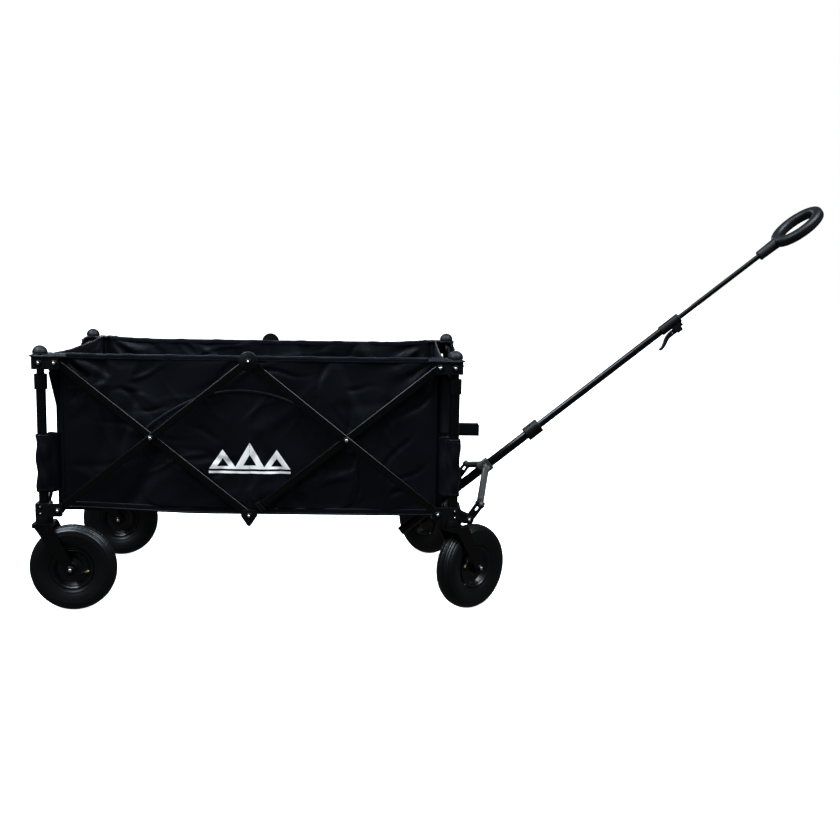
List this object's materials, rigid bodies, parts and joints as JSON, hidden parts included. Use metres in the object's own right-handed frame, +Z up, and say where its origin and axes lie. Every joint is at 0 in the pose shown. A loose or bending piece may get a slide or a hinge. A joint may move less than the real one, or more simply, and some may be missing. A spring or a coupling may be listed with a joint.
{
  "type": "folding wagon with pull handle",
  "caption": "Black folding hand wagon: fabric tub in a scissor frame on posts, air-filled wheels with swivelling front castors, and a telescopic pull handle with a loop grip.",
  "frame": {"origin": "middle of the load bed's top face (the base board), 241 mm above the ground", "axes": "+X to the front, the handle end; +Y to the side away from the outer pocket; +Z up, square to the load bed"},
  "size_m": [1.8775, 0.6821, 0.9555],
  "materials": {
    "powder_black": "semi-gloss black powder coat",
    "grey_metal": "dark grey semi-gloss paint",
    "plastic_black": "moulded black plastic, lightly grained",
    "cap_rubber": "soft black rubber",
    "tyre_rubber": "black tyre rubber, ribbed tread",
    "grip_rubber": "textured black rubber grip",
    "fabric_black": "black woven polyester, slightly blue",
    "board_black": "fabric-covered padded board"
  },
  "bodies": {
    "rear_near_leg": {"lower_bracket_rn": "plastic_black", "outer_post_rn": "powder_black", "fork_rn": "powder_black", "tub": "fabric_black", "base_board": "board_black"},
    "rear_near_wheel": {"tyre_rn": "tyre_rubber", "rim_rn": "plastic_black"},
    "near_bar_b": {"bar_near_b": "powder_black", "hub_near_top": "plastic_black"},
    "near_bar_a": {"bar_near_a": "powder_black", "hub_near_bottom": "plastic_black"},
    "rear_near_head": {"upper_bracket_rn": "plastic_black", "inner_post_rn": "cap_rubber"},
    "near_bar_c": {"bar_near_c": "powder_black"},
    "near_bar_d": {"bar_near_d": "powder_black"},
    "front_near_head": {"upper_bracket_fn": "plastic_black", "inner_post_fn": "cap_rubber"},
    "front_near_leg": {"lower_bracket_fn": "plastic_black", "outer_post_fn": "powder_black"},
    "near_castor": {"fork_fn": "powder_black"},
    "front_near_wheel": {"tyre_fn": "tyre_rubber", "rim_fn": "plastic_black"},
    "rear_bar_outer": {"bar_rear_outer": "powder_black"},
    "rear_bar_inner": {"bar_rear_inner": "powder_black"},
    "rear_far_leg": {"lower_bracket_rf": "plastic_black", "outer_post_rf": "powder_black", "fork_rf": "powder_black"},
    "rear_far_wheel": {"tyre_rf": "tyre_rubber", "rim_rf": "plastic_black"},
    "far_bar_b": {"bar_far_b": "powder_black", "hub_far_top": "plastic_black"},
    "far_bar_a": {"bar_far_a": "powder_black", "hub_far_bottom": "plastic_black"},
    "rear_far_head": {"upper_bracket_rf": "plastic_black", "inner_post_rf": "cap_rubber"},
    "far_bar_c": {"bar_far_c": "powder_black"},
    "far_bar_d": {"bar_far_d": "powder_black"},
    "front_far_head": {"upper_bracket_ff": "plastic_black", "inner_post_ff": "cap_rubber"},
    "front_far_leg": {"lower_bracket_ff": "plastic_black", "outer_post_ff": "powder_black"},
    "far_castor": {"fork_ff": "powder_black"},
    "front_far_wheel": {"tyre_ff": "tyre_rubber", "rim_ff": "plastic_black"},
    "front_bar_outer": {"bar_front_outer": "powder_black"},
    "front_bar_inner": {"bar_front_inner": "powder_black"},
    "clip": {"storage_clip": "plastic_black"},
    "near_elbow": {"yoke_elbow_near": "plastic_black"},
    "near_link": {"yoke_link_near": "grey_metal"},
    "handle_base": {"yoke_block": "grey_metal", "handle_lower_tube": "powder_black", "handle_collar": "plastic_black"},
    "handle_middle": {"handle_middle_tube": "powder_black", "handle_clamp": "plastic_black"},
    "lever": {"clamp_lever": "plastic_black"},
    "handle_top": {"handle_upper_tube": "powder_black", "handle_grip": "grip_rubber"},
    "far_link": {"yoke_link_far": "grey_metal"},
    "far_elbow": {"yoke_elbow_far": "plastic_black"}
  },
  "joints": [
    {"name": "fold", "type": "hinge", "parent": "rear_near_leg", "child": "near_bar_b", "pos_m": [-0.434, -0.25692, -0.006], "axis": [0, -1, 0], "range_deg": [0, 37.5], "deforming": ["tub", "base_board"]},
    {"name": "near_a_cross", "type": "hinge", "parent": "near_bar_b", "child": "near_bar_a", "pos_m": [-0.22308, -0.25692, 0.163], "axis": [0, 1, 0], "range_deg": [0, 75.02]},
    {"name": "near_rear_head", "type": "hinge", "parent": "near_bar_a", "child": "rear_near_head", "pos_m": [-0.434, -0.25692, 0.332], "axis": [0, -1, 0], "range_deg": [0, 37.52]},
    {"name": "near_c_top", "type": "hinge", "parent": "near_bar_b", "child": "near_bar_c", "pos_m": [0, -0.25692, 0.34174], "axis": [0, 1, 0], "range_deg": [0, 75.02]},
    {"name": "near_d_cross", "type": "hinge", "parent": "near_bar_c", "child": "near_bar_d", "pos_m": [0.22308, -0.25692, 0.163], "axis": [0, -1, 0], "range_deg": [0, 75.02]},
    {"name": "near_front_head", "type": "hinge", "parent": "near_bar_d", "child": "front_near_head", "pos_m": [0.434, -0.25692, 0.332], "axis": [0, 1, 0], "range_deg": [0, 37.52]},
    {"name": "near_front_leg", "type": "hinge", "parent": "near_bar_c", "child": "front_near_leg", "pos_m": [0.434, -0.25692, -0.006], "axis": [0, -1, 0], "range_deg": [0, 37.52]},
    {"name": "rear_outer_fold", "type": "hinge", "parent": "rear_near_leg", "child": "rear_bar_outer", "pos_m": [-0.469, -0.21092, -0.006], "axis": [1, 0, 0], "range_deg": [0, 37.52]},
    {"name": "rear_inner_cross", "type": "hinge", "parent": "rear_bar_outer", "child": "rear_bar_inner", "pos_m": [-0.469, 0, 0.163], "axis": [-1, 0, 0], "range_deg": [0, 75.02]},
    {"name": "rear_far_leg_joint", "type": "hinge", "parent": "rear_bar_inner", "child": "rear_far_leg", "pos_m": [-0.469, 0.21092, -0.006], "axis": [1, 0, 0], "range_deg": [0, 37.52]},
    {"name": "far_b_fold", "type": "hinge", "parent": "rear_far_leg", "child": "far_bar_b", "pos_m": [-0.434, 0.25692, -0.006], "axis": [0, -1, 0], "range_deg": [0, 37.52]},
    {"name": "far_a_cross", "type": "hinge", "parent": "far_bar_b", "child": "far_bar_a", "pos_m": [-0.22308, 0.25692, 0.163], "axis": [0, 1, 0], "range_deg": [0, 75.02]},
    {"name": "far_rear_head", "type": "hinge", "parent": "far_bar_a", "child": "rear_far_head", "pos_m": [-0.434, 0.25692, 0.332], "axis": [0, -1, 0], "range_deg": [0, 37.52]},
    {"name": "far_c_top", "type": "hinge", "parent": "far_bar_b", "child": "far_bar_c", "pos_m": [0, 0.25692, 0.34174], "axis": [0, 1, 0], "range_deg": [0, 75.02]},
    {"name": "far_d_cross", "type": "hinge", "parent": "far_bar_c", "child": "far_bar_d", "pos_m": [0.22308, 0.25692, 0.163], "axis": [0, -1, 0], "range_deg": [0, 75.02]},
    {"name": "far_front_head", "type": "hinge", "parent": "far_bar_d", "child": "front_far_head", "pos_m": [0.434, 0.25692, 0.332], "axis": [0, 1, 0], "range_deg": [0, 37.52]},
    {"name": "far_front_leg", "type": "hinge", "parent": "far_bar_c", "child": "front_far_leg", "pos_m": [0.434, 0.25692, -0.006], "axis": [0, -1, 0], "range_deg": [0, 37.52]},
    {"name": "front_outer_fold", "type": "hinge", "parent": "front_near_leg", "child": "front_bar_outer", "pos_m": [0.469, -0.21092, -0.006], "axis": [1, 0, 0], "range_deg": [0, 37.52]},
    {"name": "front_inner_cross", "type": "hinge", "parent": "front_bar_outer", "child": "front_bar_inner", "pos_m": [0.469, 0, 0.163], "axis": [-1, 0, 0], "range_deg": [0, 75.02]},
    {"name": "clip_level", "type": "hinge", "parent": "front_bar_outer", "child": "clip", "pos_m": [0.469, 0, 0.163], "axis": [-1, 0, 0], "range_deg": [0, 37.52]},
    {"name": "rear_near_wheel_spin", "type": "hinge", "parent": "rear_near_leg", "child": "rear_near_wheel", "pos_m": [-0.405, -0.25692, -0.141], "axis": [0, 1, 0], "continuous": true},
    {"name": "rear_far_wheel_spin", "type": "hinge", "parent": "rear_far_leg", "child": "rear_far_wheel", "pos_m": [-0.405, 0.25692, -0.141], "axis": [0, 1, 0], "continuous": true},
    {"name": "near_swivel", "type": "hinge", "parent": "front_near_leg", "child": "near_castor", "pos_m": [0.469, -0.25692, -0.035], "axis": [0, 0, 1], "continuous": true},
    {"name": "front_near_wheel_spin", "type": "hinge", "parent": "near_castor", "child": "front_near_wheel", "pos_m": [0.51504, -0.21247, -0.141], "axis": [-0.6947, 0.7193, 0], "continuous": true},
    {"name": "far_swivel", "type": "hinge", "parent": "front_far_leg", "child": "far_castor", "pos_m": [0.469, 0.25692, -0.035], "axis": [0, 0, 1], "continuous": true},
    {"name": "front_far_wheel_spin", "type": "hinge", "parent": "far_castor", "child": "front_far_wheel", "pos_m": [0.42701, 0.30523, -0.141], "axis": [-0.7547, -0.6561, 0], "continuous": true},
    {"name": "handle_pitch", "type": "hinge", "parent": "front_near_leg", "child": "near_elbow", "pos_m": [0.507, -0.25692, -0.018], "axis": [0, 1, 0], "range_deg": [-35.5, 0]},
    {"name": "near_link_fold", "type": "hinge", "parent": "near_elbow", "child": "near_link", "pos_m": [0.53109, -0.25692, 0.0164], "axis": [0.8192, 0, -0.5736], "range_deg": [0, 56.2]},
    {"name": "handle_square", "type": "hinge", "parent": "near_link", "child": "handle_base", "pos_m": [0.56092, -0.024, 0.059], "axis": [-0.8192, 0, 0.5736], "range_deg": [0, 56.2]},
    {"name": "far_link_fold", "type": "hinge", "parent": "handle_base", "child": "far_link", "pos_m": [0.56092, 0.024, 0.059], "axis": [-0.8192, 0, 0.5736], "range_deg": [0, 56.2]},
    {"name": "far_elbow_fold", "type": "hinge", "parent": "far_link", "child": "far_elbow", "pos_m": [0.53109, 0.25692, 0.0164], "axis": [0.8192, 0, -0.5736], "range_deg": [0, 56.2]},
    {"name": "handle_middle_slide", "type": "slide", "parent": "handle_base", "child": "handle_middle", "axis": [0.7793, 0, 0.6266], "range_m": [-0.36, 0]},
    {"name": "handle_upper_slide", "type": "slide", "parent": "handle_middle", "child": "handle_top", "axis": [0.7793, 0, 0.6266], "range_m": [-0.24, 0]},
    {"name": "clamp_lever_turn", "type": "hinge", "parent": "handle_middle", "child": "lever", "pos_m": [1.02999, 0, 0.4092], "axis": [0, -1, 0], "range_deg": [0, 90]}
  ],
  "couplings": [
    {"joint": "near_a_cross", "follows": "fold", "ratio": 2},
    {"joint": "near_rear_head", "follows": "fold", "ratio": 1},
    {"joint": "near_c_top", "follows": "fold", "ratio": 2},
    {"joint": "near_d_cross", "follows": "fold", "ratio": 2},
    {"joint": "near_front_head", "follows": "fold", "ratio": 1},
    {"joint": "near_front_leg", "follows": "fold", "ratio": 1},
    {"joint": "rear_outer_fold", "follows": "fold", "ratio": 1},
    {"joint": "rear_inner_cross", "follows": "fold", "ratio": 2},
    {"joint": "rear_far_leg_joint", "follows": "fold", "ratio": 1},
    {"joint": "far_b_fold", "follows": "fold", "ratio": 1},
    {"joint": "far_a_cross", "follows": "fold", "ratio": 2},
    {"joint": "far_rear_head", "follows": "fold", "ratio": 1},
    {"joint": "far_c_top", "follows": "fold", "ratio": 2},
    {"joint": "far_d_cross", "follows": "fold", "ratio": 2},
    {"joint": "far_front_head", "follows": "fold", "ratio": 1},
    {"joint": "far_front_leg", "follows": "fold", "ratio": 1},
    {"joint": "front_outer_fold", "follows": "fold", "ratio": 1},
    {"joint": "front_inner_cross", "follows": "fold", "ratio": 2},
    {"joint": "clip_level", "follows": "fold", "ratio": 1},
    {"joint": "near_link_fold", "follows": "fold", "ratio": 1.498},
    {"joint": "handle_square", "follows": "fold", "ratio": 1.498},
    {"joint": "far_link_fold", "follows": "fold", "ratio": 1.498},
    {"joint": "far_elbow_fold", "follows": "fold", "ratio": 1.498}
  ]
}
